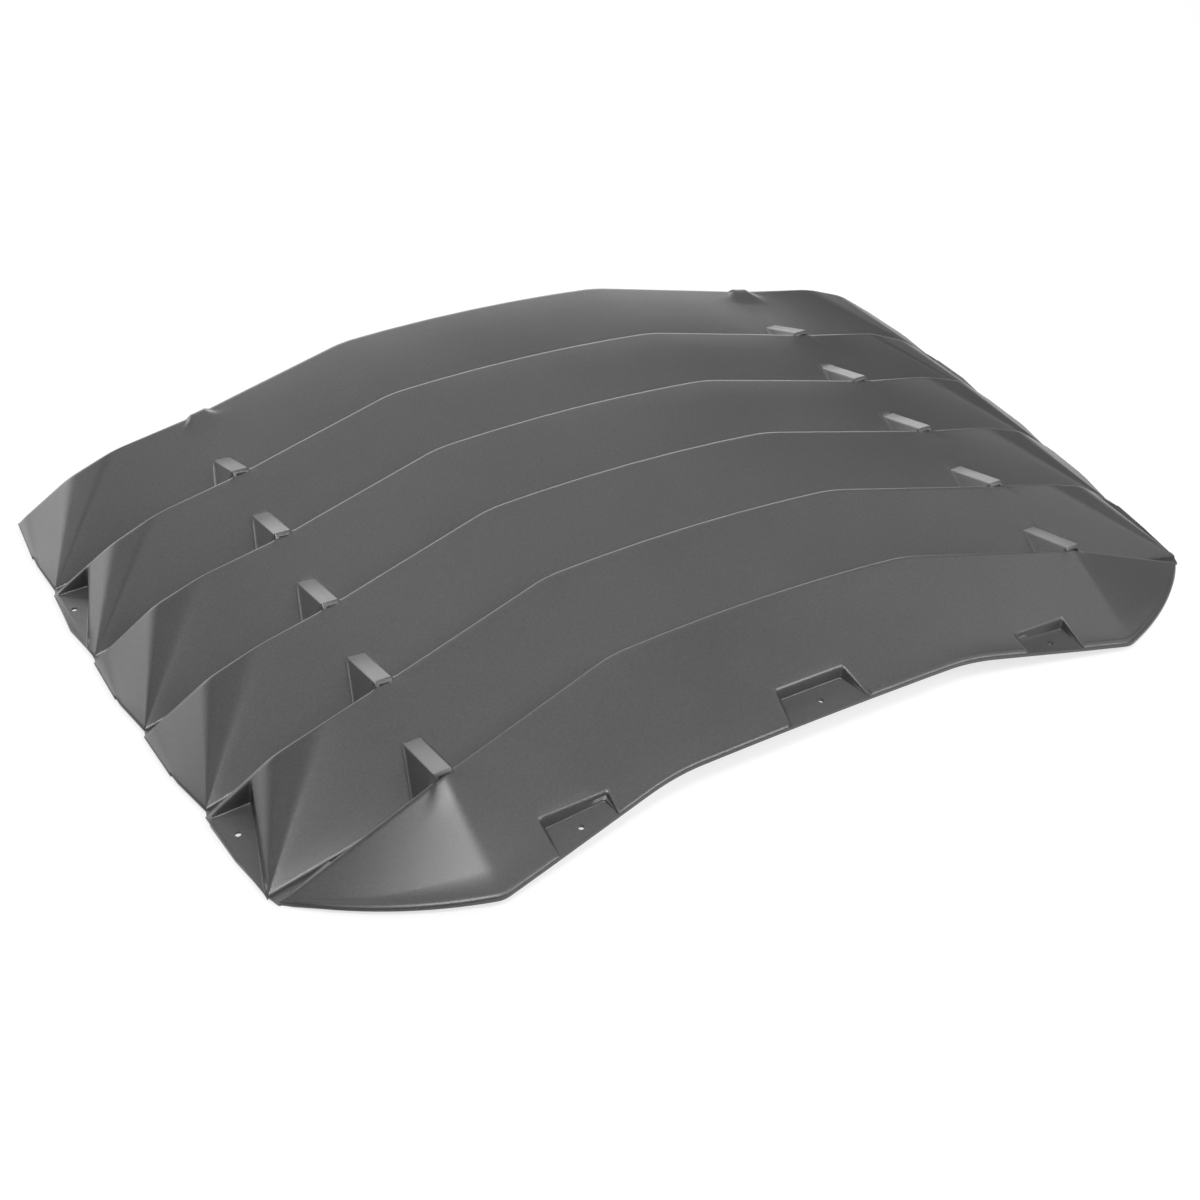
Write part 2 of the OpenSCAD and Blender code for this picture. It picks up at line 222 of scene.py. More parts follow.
def side_mid(j):
    return mix(corner(j), low_corner(j), 0.52) + Vector((1.5 if j == 1 else 4.5, 0, 0))


# The front edge of slat 0

FRONT_BEND = at(HALF - 219, -FRONT_REACH, 8.5)
FRONT_CROWN = at(CROWN_HALF + 1, -51, 33)
FRONT_BULGE = 1.5


def front_curve(f):
    """A point on the bowed side edge of the front slat, from its corner (f = 0) to the bend."""
    bow = CORNER_BOW * 4 * f * (1 - f)
    return mix(corner(0), FRONT_BEND, f) + Vector((0.47 * bow, -0.88 * bow, 0))


def front_rim(x):
    """The front edge between its bend and its crown, at the distance x from the middle."""
    return mix(FRONT_BEND, FRONT_CROWN, (FRONT_BEND.x - x) / (FRONT_BEND.x - FRONT_CROWN.x))


# Sheets: pairs of a free and a low point, with the reach of the soft crease at each end

MIDDLE_PARTS = 3
TAB_REACH = 30
# Extra stations next to the knee: shares of the way from the haunch and on to the crown
BEFORE_KNEE = 0.8
AFTER_KNEE = 0.12


def station(free, low, free_reach=0, low_reach=0, parts=8):
    return {"free": free, "low": low, "reach": (free_reach, low_reach), "parts": parts}


def middle_stations(free, low, free_up, low_rear, low_up):
    """The nearly flat crown of both edges, up to but not past the middle line."""
    found = []
    for i in range(1, MIDDLE_PARTS + 1):
        f = i / MIDDLE_PARTS
        here = bulged(free, BULGE_REAR, free_up, f)
        found.append(station(here, bulged(low, low_rear, low_up, f), 14, 14, 4))
    return found


def slat_stations(j):
    """Right half of a slat behind a row of bridges, outermost first."""
    before = mix(haunch(j), knee(j), BEFORE_KNEE)
    after = mix(knee(j), crown(j), AFTER_KNEE)
    return [
        station(corner(j), side_mid(j)),
        station(shoulder(j), low_corner(j), 12, 0),
        station(haunch(j), low_corner(j), 14, 0),
        station(before, mix(low_corner(j), low_bridge(j), BEFORE_KNEE)),
        station(knee(j), low_bridge(j), 6, 10, 10),
        station(after, mix(low_bridge(j), low_crown(j), AFTER_KNEE)),
        station(crown(j), low_crown(j), 18, 34, 12),
    ] + middle_stations(crown(j), low_crown(j), CROWN_BULGE, BULGE_REAR, CROWN_BULGE)


CURVE_PARTS = 16
CURVE_START = 0.2
CURVE_END = 0.98


def front_stations():
    """Right half of the front slat, outermost first."""
    found = []
    for i in range(CURVE_PARTS):
        f = (i + CURVE_START) / (CURVE_PARTS + CURVE_START) * CURVE_END
        found.append(station(mix(corner(0), knee(0), f), front_curve(f)))
    found.append(station(knee(0), FRONT_BEND, 4, 7, 10))
    found.append(station(mix(knee(0), crown(0), AFTER_KNEE), mix(FRONT_BEND, FRONT_CROWN, AFTER_KNEE)))
    found.append(station(crown(0), FRONT_CROWN, 18, 34, 12))
    return found + middle_stations(crown(0), FRONT_CROWN, CROWN_BULGE, 1, FRONT_BULGE)


def both_halves(right):
    """A whole row of stations from left to right. The last right one is on the middle line."""
    left = [dict(s, free=flipped(s["free"]), low=flipped(s["low"])) for s in right]
    return left + right[-2::-1]


def bend(before, at_corner, after, f):
    """A point on the arc that rounds a corner."""
    return mix(mix(before, at_corner, f), mix(at_corner, after, f), f)


CREASE_SHARE = 0.48
FINE_STEP = 1.6
COARSE_STEP = 14


def near_tab(x, j):
    return abs(abs(x) - tab_x(j)) < TAB_REACH


def columns(stations, j):
    """Pairs of free and low points, close together where a crease or a tab needs them."""
    found = []
    trimmed = []
    for i, s in enumerate(stations):
        ends = []
        for k, key in enumerate(("free", "low")):
            here = s[key]
            reach = s["reach"][k]
            pair = []
            for other in (stations[max(0, i - 1)], stations[min(len(stations) - 1, i + 1)]):
                step = other[key] - here
                length = step.length
                share = min(reach, CREASE_SHARE * length) / length if length > TINY else 0
                pair.append(here + step * share)
            ends.append(pair)
        trimmed.append(ends)
    for i, s in enumerate(stations):
        (free_a, free_b), (low_a, low_b) = trimmed[i]
        if max(s["reach"]) > 0:
            for k in range(s["parts"] + 1):
                f = k / s["parts"]
                found.append((bend(free_a, s["free"], free_b, f), bend(low_a, s["low"], low_b, f)))
        else:
            found.append((s["free"], s["low"]))
        if i == len(stations) - 1:
            break
        free_c, low_c = trimmed[i + 1][0][0], trimmed[i + 1][1][0]
        fine = near_tab(mix(free_b.x, free_c.x, 0.5), j)
        length = max((free_c - free_b).length, (low_c - low_b).length)
        parts = max(1, math.ceil(length / (FINE_STEP if fine else COARSE_STEP)))
        for k in range(1, parts):
            found.append((mix(free_b, free_c, k / parts), mix(low_b, low_c, k / parts)))
    return found


# A tab has its full height up to TAB_TOP from its middle. Its foot widens by TAB_SPREAD with each
# millimetre away from the free edge, and the tab ends after TAB_RUN.
TAB_TOP = 7.9
TAB_FOOT = 8
TAB_SPREAD = 1.2
TAB_RUN = 30


def tab_rise(x, j, back):
    """How much of the tab's height there is at x, back millimetres before the free edge j."""
    d = abs(abs(x) - tab_x(j))
    foot = TAB_FOOT + TAB_SPREAD * back
    return (1 - smooth_step((d - TAB_TOP) / foot)) * smooth_step(1 - back / TAB_RUN)


RIM_PARTS = 8
ROUND_SHARE = 0.3
# Rows of a sheet: millimetres before the free edge's rim, closer together where the sheet is
# shorter than NEAR_SPACE, then shares of what is left
NEAR_ROWS = (0, 2, 4, 7, 11, 16, 23, TAB_RUN)
NEAR_SPACE = TAB_RUN + 20
FAR_ROWS = (0.25, 0.5, 0.75, 1)
# The crowning fades out past the tabs
CROWNING_END = 20
CROWNING_FADE = 90
SIDE_LIP_DEPTH = 4.5
LIP_ROOT = 2
LIP_CHAMFER_UP = 1.5
LIP_CHAMFER_OUT = 0.8


def lip_depth(x):
    """The front lip is shallower towards the side corners."""
    f = (corner(0).x - abs(x)) / (corner(0).x - FRONT_BEND.x)
    return mix(SIDE_LIP_DEPTH, LIP_DEPTH, min(1, f))


def sheet_section(free, low, j, shrink):
    """Closed outline of sheet j along one column: top, rear rim, underside, front rim or lip.

    shrink takes that much off the top and off the underside.
    """
    has_lip = j == 0
    along = free - low
    length = along.length
    along = along / length
    thick = WALL - 2 * shrink
    rim = min(RIM_R, ROUND_SHARE * length)
    nose = min(NOSE_R if has_lip else RIM_R, ROUND_SHARE * length)
    under_start = min(LIP_WIDTH + LIP_ROOT, 0.6 * length) if has_lip else nose

    def on_top(distance):
        point = low + along * distance - UP * shrink
        tab = REAR_TAB if j == LAST else BRIDGE_TAB
        point.z += tab * tab_rise(point.x, j, max(0, length - rim - distance))
        share = distance / length
        fade = smooth_step((tab_x(j) + CROWNING_END - abs(point.x)) / CROWNING_FADE)
        point.z += CROWNING[j] * 4 * share * (1 - share) * fade
        return point

    def rows(start):
        end = length - rim
        near = [end - min(1, (end - start) / NEAR_SPACE) * back for back in NEAR_ROWS]
        return near + [mix(near[-1], start, f) for f in FAR_ROWS]

    loop = [on_top(distance) for distance in reversed(rows(nose))]
    first, last = loop[0], loop[-1]
    for k in range(1, RIM_PARTS):
        turn = math.pi * k / RIM_PARTS
        loop.append(last - UP * thick / 2 * (1 - math.cos(turn)) + along * rim * math.sin(turn))
    loop += [on_top(distance) - UP * thick for distance in rows(under_start)]
    if has_lip:
        out = -Vector((along.x, along.y, 0)).normalized()
        foot = first + out * nose - UP * (lip_depth(low.x) - shrink)
        inner = foot - out * min(LIP_WIDTH, 0.5 * length)
        loop += [inner + UP * LIP_CHAMFER_UP, inner + out * LIP_CHAMFER_OUT, foot - out, foot + UP]
        for k in range(1, RIM_PARTS + 1):
            turn = math.pi / 2 * (1 - (k - 1) / RIM_PARTS)
            loop.append(first + out * nose * math.sin(turn) - UP * NOSE_DROP * (1 - math.cos(turn)))
    else:
        for k in range(1, RIM_PARTS):
            turn = math.pi * (1 - k / RIM_PARTS)
            loop.append(first - UP * thick / 2 * (1 - math.cos(turn)) - along * nose * math.sin(turn))
    return loop


SIDE_R = 1.4
SIDE_PARTS = 3


def sheet_loops(j):
    """All sections of slat j from its left side to its right one, the side edges rounded."""
    pairs = columns(both_halves(slat_stations(j) if j else front_stations()), j)
    loops = [sheet_section(free, low, j, 0) for free, low in pairs]
    for end in (0, -1):
        free, low = pairs[end]
        inward = Vector((1 if free.x < 0 else -1, 0, 0))
        rounded = []
        for k in range(SIDE_PARTS + 1):
            turn = math.pi / 2 * k / SIDE_PARTS
            move = inward * SIDE_R * (1 - math.cos(turn))
            shrink = SIDE_R * (1 - math.sin(turn))
            rounded.append(sheet_section(free + move, low + move, j, shrink))
        if end == 0:
            loops[0:1] = rounded
        else:
            loops[-1:] = reversed(rounded)
    return loops


# Mesh helpers


def closed_grid(loops):
    """Points and faces of a closed solid through loops of equal length."""
    n = len(loops[0])
    points = [p for loop in loops for p in loop]
    faces = []
    for i in range(len(loops) - 1):
        for k in range(n):
            a = i * n + k
            b = i * n + (k + 1) % n
            faces.append((a, b, b + n, a + n))
    faces.append(tuple(range(n - 1, -1, -1)))
    faces.append(tuple(range((len(loops) - 1) * n, len(loops) * n)))
    return points, faces


def make_object(name, points, faces):
    """A closed mesh object in metres with its faces outwards."""
    mesh = bpy.data.meshes.new(name)
    mesh.from_pydata([p * MM for p in points], [], faces)
    work = bmesh.new()
    work.from_mesh(mesh)
    bmesh.ops.remove_doubles(work, verts=work.verts, dist=TINY)
    bmesh.ops.dissolve_degenerate(work, edges=work.edges, dist=TINY)
    bmesh.ops.recalc_face_normals(work, faces=work.faces)
    work.to_mesh(mesh)
    work.free()
    made = bpy.data.objects.new(name, mesh)
    bpy.context.scene.collection.objects.link(made)
    return made


def combine(base, operation, others):
    """Applies one Boolean step after another to base and removes the other objects."""
    for other in others:
        step = base.modifiers.new("step", "BOOLEAN")
        step.solver = "MANIFOLD"
        step.operation = operation
        step.object = other
        graph = bpy.context.evaluated_depsgraph_get()
        result = bpy.data.meshes.new_from_object(base.evaluated_get(graph))
        base.modifiers.clear()
        old = base.data
        base.data = result
        bpy.data.meshes.remove(old)
        mesh = other.data
        bpy.data.objects.remove(other)
        bpy.data.meshes.remove(mesh)
    return base


ABOVE_ALL = 500
SLOPE_RUN = 10


def height_over(tree, x, y, first_y=-1000):
    """Height of a sheet's top at a place in plan; before first_y, its slope is carried on."""
    if y >= first_y:
        return tree.ray_cast(Vector((x, y, ABOVE_ALL)), -UP)[0].z
    here = height_over(tree, x, first_y)
    return here + (height_over(tree, x, first_y + SLOPE_RUN) - here) * (y - first_y) / SLOPE_RUN


BOX_FACES = ((0, 1, 2, 3), (7, 6, 5, 4), (0, 4, 5, 1), (1, 5, 6, 2), (2, 6, 7, 3), (3, 7, 4, 0))


def block(name, near, far):
    """A solid with four corners at each end."""
    return make_object(name, list(near) + list(far), BOX_FACES)


# Sheets

sheet_trees = []
sheets = []
for number in range(LAST + 1):
    sheet_points, sheet_faces = closed_grid(sheet_loops(number))
    sheet_trees.append(BVHTree.FromPolygons(sheet_points, sheet_faces))
    sheets.append(make_object(f"sheet_{number}", sheet_points, sheet_faces))


# Bridges

ARC_PARTS = 5
BRIDGE_ROWS = 22
SIDE_ANGLE = math.atan(BRIDGE_DRAFT)
LEAST_HEIGHT = 0.4
# Roundings shrink to these shares of the height where a bridge runs out
EDGE_SHARE = 0.6
ROOT_SHARE = 0.5
# The root's end lies this deep in the slat's top, and the bridge's underside lies deeper
ROOT_SINK = 0.25
ROOT_DEPTH = 2.2
ROOT_GUESS = 4
ROOT_TRIES = 3
# A bridge starts behind the knee and ends inside the slat
BRIDGE_START = 0.7
BRIDGE_SUNK = 3
# Rows before a bridge's near end: under the tab that it grows out of, then the step up to its top
BURIED_ROWS = (11, 8, 5.5)
BURIED = 0.5
STEP_BACK = 1.5
STEP_DOWN = 0.9
# The top of the slat behind is covered up to this distance from the free edge
COVERED = 26
HOLLOW_SIDE = BRIDGE_WIDTH / 2 - WALL - 0.2
HOLLOW_START = 9
HOLLOW_END = 12


def bridge_section(j, y, top, height):
    """Closed outline of a bridge at y, from its left root over the top to its right root."""
    halves = []
    for side in (-1, 1):
        root_x = tab_x(j) + side * (BRIDGE_WIDTH / 2 + ROOT_GUESS)
        root_z = height(root_x, y)
        for _ in range(ROOT_TRIES):
            root_x = tab_x(j) + side * (BRIDGE_WIDTH / 2 + BRIDGE_DRAFT * (top - root_z))
            root_z = height(root_x, y)
        tall = max(top - root_z, LEAST_HEIGHT)
        edge = min(BRIDGE_R, EDGE_SHARE * tall)
        flare = min(ROOT_R, ROOT_SHARE * tall)
        points = []
        shelf = BRIDGE_WIDTH / 2 - edge * math.tan((math.pi / 2 - SIDE_ANGLE) / 2)
        for k in range(ARC_PARTS + 1):
            turn = mix(math.pi / 2, SIDE_ANGLE, k / ARC_PARTS)
            points.append((shelf + edge * math.cos(turn), top - edge * (1 - math.sin(turn))))
        foot = abs(root_x - tab_x(j))
        above = Vector((foot - BRIDGE_DRAFT * flare, root_z + flare))
        bottom = Vector((foot, root_z))
        out_z = height(root_x + side * flare, y)
        beyond = Vector((foot + flare, out_z - ROOT_SINK))
        for k in range(ARC_PARTS + 1):
            p = bend(above, bottom, beyond, k / ARC_PARTS)
            points.append((p.x, p.y))
        points.append((foot + flare, out_z - ROOT_DEPTH))
        halves.append([Vector((tab_x(j) + side * x, y, z)) for x, z in points])
    return halves[0][::-1] + halves[1]


def bridge(j, side):
    """The hollow rib from the tab of free edge j down to the slat behind it."""
    start = knee(j)

    def height(x, y):
        return height_over(sheet_trees[j + 1], x, y, start.y + COVERED)

    y_near = start.y + BRIDGE_START
    y_far = y_near + BRIDGE_LENGTH
    z_near = start.z + BRIDGE_TAB + BRIDGE_STEP
    z_far = height(tab_x(j), y_far)
    slope = (z_far - z_near) / (y_far - y_near)
    rows = []
    for back in BURIED_ROWS:
        y = y_near - back
        across = (tab_x(j) + side_way * BRIDGE_WIDTH / 2 for side_way in (-1, 0, 1))
        rows.append((y, min(height_over(sheet_trees[j], x, y) for x in across) - BURIED))
    rows.append((y_near - STEP_BACK, z_near - STEP_DOWN))
    for k in range(BRIDGE_ROWS + 1):
        y = mix(y_near, y_far + BRIDGE_SUNK, k / BRIDGE_ROWS)
        rows.append((y, z_near + slope * (y - y_near)))
    loops = [bridge_section(j, y, top, height) for y, top in rows]
    points, faces = closed_grid(loops)
    ends = []
    for y in (y_near - HOLLOW_START, y_far - HOLLOW_END):
        top = z_near + slope * (y - y_near) - WALL
        low = height(tab_x(j), y) - WALL - 1
        wide = HOLLOW_SIDE + BRIDGE_DRAFT * (top - low)
        ends.append([
            Vector((tab_x(j) - HOLLOW_SIDE, y, top)), Vector((tab_x(j) + HOLLOW_SIDE, y, top)),
            Vector((tab_x(j) + wide, y, low)), Vector((tab_x(j) - wide, y, low))])
    if side < 0:
        points = [flipped(p) for p in points]
        ends = [[flipped(p) for p in end] for end in ends]
    rib = make_object("rib", points, faces)
    return combine(rib, "DIFFERENCE", [block("rib_hollow", ends[0], ends[1])])


ribs = [bridge(j, side) for j in range(LAST) for side in (-1, 1)]


# Webs between the side corners

WEB_REACH = 34
FRONT_WEB_REACH = 54
# Corners of a web's ends, from points of the two edges: free top, low top, low and free underside
WEB_OUTER = ((-0.8, -2, -0.9), (-0.6, 2, -0.7), (-0.6, 2, -3.3), (-0.8, -2, -3.3))
WEB_INNER = ((0, -1, -1.3), (0, 2.5, -0.9), (0, 2.5, -3.4), (0, -1, -4.6))


def web_end(free, low, offsets):
    """The four corners of a web's end, between a point of the free edge and one of the low edge."""
    return [
        Vector((p.x + x, p.y + y, p.z + z))
        for p, (x, y, z) in zip((free, low, low, free), offsets)]


def web(j, side):
    """Sloping web that closes the flat outer end of the gap behind free edge j."""
    free, low = corner(j), low_corner(j + 1)
    free_far = shoulder(j) if j else knee(0)
    low_far = low_bridge(j + 1)
    reach = WEB_REACH if j else FRONT_WEB_REACH
    free_in = mix(free, free_far, reach / (free.x - free_far.x))
    low_in = mix(low, low_far, reach / (free.x - low_far.x))
    low_in.x = free_in.x
    ends = [web_end(free, low, WEB_OUTER), web_end(free_in, low_in, WEB_INNER)]
    if side < 0:
        ends = [[flipped(p) for p in end] for end in ends]
    return block("web", ends[0], ends[1])


webs = [web(j, side) for j in range(LAST) for side in (-1, 1)]

shell = sheets[0]
shell.name = "louver_shell"
combine(shell, "UNION", sheets[1:] + ribs + webs)


# Front pockets: an outer box joined to the sheet, then a rounded cavity cut from it

LIP_ANGLE = math.radians(78)
POCKET_CORNER_R = 3
POCKET_FLOOR_R = 1.5
POCKET_DRAFT = 3 / 13
POCKET_DEPTH = 11
POCKET_CLEARANCE = 0.5
POCKET_END_PARTS = 4
POCKET_REAR_PARTS = 8
PAST_RIM = 8
CAVITY_TOP = 20
# Roundings shrink to this share where a cavity runs out
LEAST_PART = 0.1
# Floors of the pockets at the rim, and how steeply they rise towards the rear
MIDDLE_FLOOR_UP = 0.2
MIDDLE_FLOOR_SLOPE = 0.06
SIDE_FLOOR_DOWN = 0.9
SIDE_FLOOR_SLOPE = 0.09
# The sheet's top is flat from this far behind the rim on, and the straight rim ends at RIM_END
FLAT_TOP = 9
RIM_END = 380
# Levels of a pocket's outside: how far inwards and how high over the floor; the last is in the sheet
BOX_LEVELS = ((2, -WALL), (0.6, -WALL + 0.6), (0, -WALL + 2), (0, None))
BOX_START = 3
BOX_DRAFT = 2.6
BOX_ROOF = 1.8
MIDDLE_HALF_REAR = 40
MIDDLE_HALF_FRONT = 49
POCKET_A = POCKET_X - POCKET_WIDTH / 2
POCKET_B = POCKET_X + POCKET_WIDTH / 2
POCKET_REAR = front_rim(POCKET_X).y + POCKET_LENGTH
MIDDLE_REAR = FRONT_CROWN.y + POCKET_LENGTH + 9


def cavity_levels(floor_r, lip_r, clearance):
    """Levels of a cavity: a rounded floor edge, a rounded lip and the space above.

    Each has its kind, how far it lies inwards of the wall and its height over the floor or the sheet.
    """
    levels = []
    for k in range(ARC_PARTS + 1):
        turn = math.pi / 2 * k / ARC_PARTS
        levels.append(("floor", floor_r * (1 - math.sin(turn)), floor_r * (1 - math.cos(turn))))
    for k in range(ARC_PARTS + 1):
        turn = LIP_ANGLE * k / ARC_PARTS
        levels.append(("lip", -lip_r * (1 - math.cos(turn)), -lip_r * (1 - math.sin(turn))))
    return levels + [("above", -lip_r - 1, clearance), ("above", -lip_r - 1, CAVITY_TOP)]


def front_height(x, y):
    """Height of the front slat's top, carried on in front of its rim."""
    return height_over(sheet_trees[0], x, y, front_rim(min(max(x, 0), RIM_END)).y + FLAT_TOP)


def pocket_floor(middle, x, y):
    if middle:
        return FRONT_CROWN.z + MIDDLE_FLOOR_UP + MIDDLE_FLOOR_SLOPE * (y - FRONT_CROWN.y)
    return front_rim(x).z - SIDE_FLOOR_DOWN + SIDE_FLOOR_SLOPE * (y - front_rim(x).y)


def pocket_path(middle, forward, grow, rear_in, radius):
    """Plan of a pocket from its front left round the rear to its front right corner.

    grow moves the walls out, rear_in moves the rear corners in for the draft, and forward is
    how far the front ends reach past the rim.
    """
    if middle:
        rear = [(-MIDDLE_HALF_REAR, MIDDLE_REAR), (MIDDLE_HALF_REAR, MIDDLE_REAR)]
        ends = [(-MIDDLE_HALF_FRONT, FRONT_CROWN.y), (MIDDLE_HALF_FRONT, FRONT_CROWN.y)]
    else:
        rear = [(POCKET_A, POCKET_REAR), (POCKET_B, POCKET_REAR)]
        ends = [(POCKET_A, front_rim(POCKET_A).y), (POCKET_B, front_rim(POCKET_B).y)]
    move = grow - rear_in
    a = Vector((ends[0][0] - grow, ends[0][1] - forward))
    b = Vector((rear[0][0] - move, rear[0][1] + move))
    c = Vector((rear[1][0] + move, rear[1][1] + move))
    d = Vector((ends[1][0] + grow, ends[1][1] - forward))
    path = [mix(a, b, k / POCKET_END_PARTS) for k in range(POCKET_END_PARTS)]
    for before, here, after in ((a, b, c), (b, c, d)):
        start = here + (before - here).normalized() * radius
        end = here + (after - here).normalized() * radius
        path += [bend(start, here, end, k / ARC_PARTS) for k in range(ARC_PARTS + 1)]
        if here is b:
            path += [mix(end, c, k / POCKET_REAR_PARTS) for k in range(1, POCKET_REAR_PARTS)]
    return path + [mix(c, d, k / POCKET_END_PARTS) for k in range(1, POCKET_END_PARTS + 1)]


def pocket_box(middle):
    """The outside of a pocket, under the sheet."""
    loops = []
    for inset, rise in BOX_LEVELS:
        rear_in = 0 if rise is None else BOX_DRAFT
        loop = []
        for p in pocket_path(middle, -BOX_START, WALL - inset, rear_in, POCKET_CORNER_R + WALL):
            low = pocket_floor(middle, p.x, p.y)
            z = max(front_height(p.x, p.y), low) - BOX_ROOF if rise is None else low + rise
            loop.append(Vector((p.x, p.y, z)))
        loops.append(loop)
    return closed_grid(loops)


def pocket_cavity(middle):
    """The inside of a pocket, with a rounded floor edge and a rounded lip at the top."""
    base = pocket_path(middle, PAST_RIM, 0, 0, POCKET_CORNER_R)
    needed = POCKET_FLOOR_R + POCKET_LIP_R + POCKET_CLEARANCE
    room = []
    for p in base:
        tall = front_height(p.x, p.y) - pocket_floor(middle, p.x, p.y)
        room.append(max(LEAST_PART, min(1, tall / needed)))
    loops = []
    for kind, inset, rise in cavity_levels(POCKET_FLOOR_R, POCKET_LIP_R, POCKET_CLEARANCE):
        loop = []
        for i, room_here in enumerate(room):
            part = 1 if kind == "above" else room_here
            rear_in = POCKET_DRAFT * POCKET_DEPTH * part if kind == "floor" else 0
            q = pocket_path(middle, PAST_RIM, -inset * part, rear_in, POCKET_CORNER_R)[i]
            low = pocket_floor(middle, q.x, q.y)
            if kind != "floor":
                low = max(front_height(q.x, q.y), low + LEAST_HEIGHT)
            loop.append(Vector((q.x, q.y, low + rise * part)))
        loops.append(loop)
    return closed_grid(loops)


def pockets(outline, name):
    """The middle pocket and both outer ones as three objects."""
    points, faces = outline(True)
    made = [make_object(name, points, faces)]
    points, faces = outline(False)
    for half in (points, [flipped(p) for p in points]):
        made.append(make_object(name, half, faces))
    return made


combine(shell, "UNION", pockets(pocket_box, "pocket_box"))


# Side recesses: base plates and their walls are joined on, then rounded cavities are cut

PATH_PARTS = 16
PAST_TIP = 1.08
PLATE_EDGE_R = 0.8
RECESS_CORNER_R = 4
WALL_BACK = 3
WALL_FRONT = 4
WALL_FOOT = 1
WALL_ROOF = 1.5
WALL_END = 2
SIDE_MARGIN = 3
FLOOR_CUT = 0.02
RECESS_CLEARANCE = 0.6
RECESS_LEAST_HEIGHT = 0.3
# The walls lean outwards towards the floor: fully where the slat is LEANING_HEIGHT above the
# plate, and by a share of that at the rear
RECESS_LEAN = 2.4
LEANING_HEIGHT = 25
REAR_LEAN_SHARE = 0.3


def recess_inner(j):
    return corner(j) + Vector((-45 if j == 1 else -39, -4, 0))


def recess_tip(j):
    return low_corner(j) + Vector((-5 if j == 1 else 1, 14, 0))


def recess_outer(j):
    return corner(j) + Vector((29, -8, 0))


def recess_hole(j):
    return Vector((side_mid(j).x - 12, corner(j).y - 36, 0))


def plate_top(j, x, y):
    """Height of the base plate's flat top."""
    inner, tip = recess_inner(j), recess_tip(j)
    f = (y - tip.y) / (inner.y - tip.y)
    return PLATE_DEPTH + PLATE_TILT * f - PLATE_FALL * (x - mix(tip.x, inner.x, f))


def outline_x(j, y):
    """Distance of the bowed side outline from the middle line."""
    rear, middle, low = corner(j), side_mid(j), low_corner(j)
    if y > middle.y:
        return mix(middle.x, rear.x, min(1, (y - middle.y) / (rear.y - middle.y)))
    return mix(low.x, middle.x, max(0, (y - low.y) / (middle.y - low.y)))


def slat_top(j, x, y):
    """Height of the slat's top; past its side outline, the slope of its outer facet is carried on."""
    normal = (shoulder(j) - corner(j)).cross(low_corner(j) - corner(j))
    inside = min(x, outline_x(j, y) - SIDE_MARGIN)
    here = height_over(sheet_trees[j], inside, y)
    return here - normal.x / normal.z * (x - inside)


def prism(name, outline, low, high):
    """A solid over an outline in plan, from the height low to that of the function high."""
    bottom = [Vector((x, y, low)) for x, y in outline]
    top = [Vector((x, y, high(x, y))) for x, y in outline]
    return make_object(name, *closed_grid([bottom, top]))


def rounded_edges(made, radius):
    """Finishes a simple solid with rounded edges."""
    step = made.modifiers.new("edges", "BEVEL")
    step.width = radius * MM
    step.segments = 3
    graph = bpy.context.evaluated_depsgraph_get()
    made.data = bpy.data.meshes.new_from_object(made.evaluated_get(graph))
    made.modifiers.clear()
    return made


def base_plate(j, side):
    """The flat plate that a screw passes through."""
    inner, tip, low = recess_inner(j), recess_tip(j), low_corner(j)
    middle, rear = side_mid(j), corner(j)
    outline = [
        (inner.x - 2, inner.y + 2), (tip.x - 5, tip.y - 6), (low.x + 0.3, low.y + 1.5),
        (low.x + 0.5, tip.y), (middle.x + 0.4, middle.y), (rear.x - 0.6, rear.y - 10),
        (rear.x - 4, rear.y - 5)]
    plate = prism("base_plate", outline, 0, lambda x, y: plate_top(j, x, y))
    rounded_edges(plate, PLATE_EDGE_R)
    return mirrored(plate) if side < 0 else plate


def mirrored(made):
    """The same solid on the left side."""
    made.data.transform(Matrix.Diagonal((-1, 1, 1, 1)))
    made.data.flip_normals()
    return made


def recess_path(j, inner_out, rear_out, radius):
    """Plan of the walls, from the front tip to the inner corner and on to the outside."""
    inner, outer = recess_inner(j), recess_outer(j)
    front = mix(inner, recess_tip(j), PAST_TIP)
    a = Vector((front.x - inner_out, front.y))
    b = Vector((inner.x - inner_out, inner.y + rear_out))
    c = Vector((outer.x, outer.y + rear_out))
    start = b + (a - b).normalized() * radius
    end = b + (c - b).normalized() * radius
    path = [mix(a, start, k / PATH_PARTS) for k in range(PATH_PARTS)]
    path += [bend(start, b, end, k / ARC_PARTS) for k in range(ARC_PARTS)]
    return path + [mix(end, c, k / PATH_PARTS) for k in range(PATH_PARTS + 1)]


def recess_wall(j, side):
    """A band of plastic along the walls, from the foot up into the slat."""
    front = recess_path(j, -WALL_FRONT, -WALL_FRONT, RECESS_CORNER_R)
    back = recess_path(j, WALL_BACK, WALL_BACK, RECESS_CORNER_R)
    loops = []
    for p, q in zip(front, back):
        if max(p.x, q.x) > outline_x(j, p.y) - WALL_END:
            continue
        loops.append([
            Vector((p.x, p.y, WALL_FOOT)), Vector((q.x, q.y, WALL_FOOT)),
            Vector((q.x, q.y, slat_top(j, q.x, q.y) - WALL_ROOF)),
            Vector((p.x, p.y, slat_top(j, p.x, p.y) - WALL_ROOF))])
    made = make_object("recess_wall", *closed_grid(loops))
    return mirrored(made) if side < 0 else made


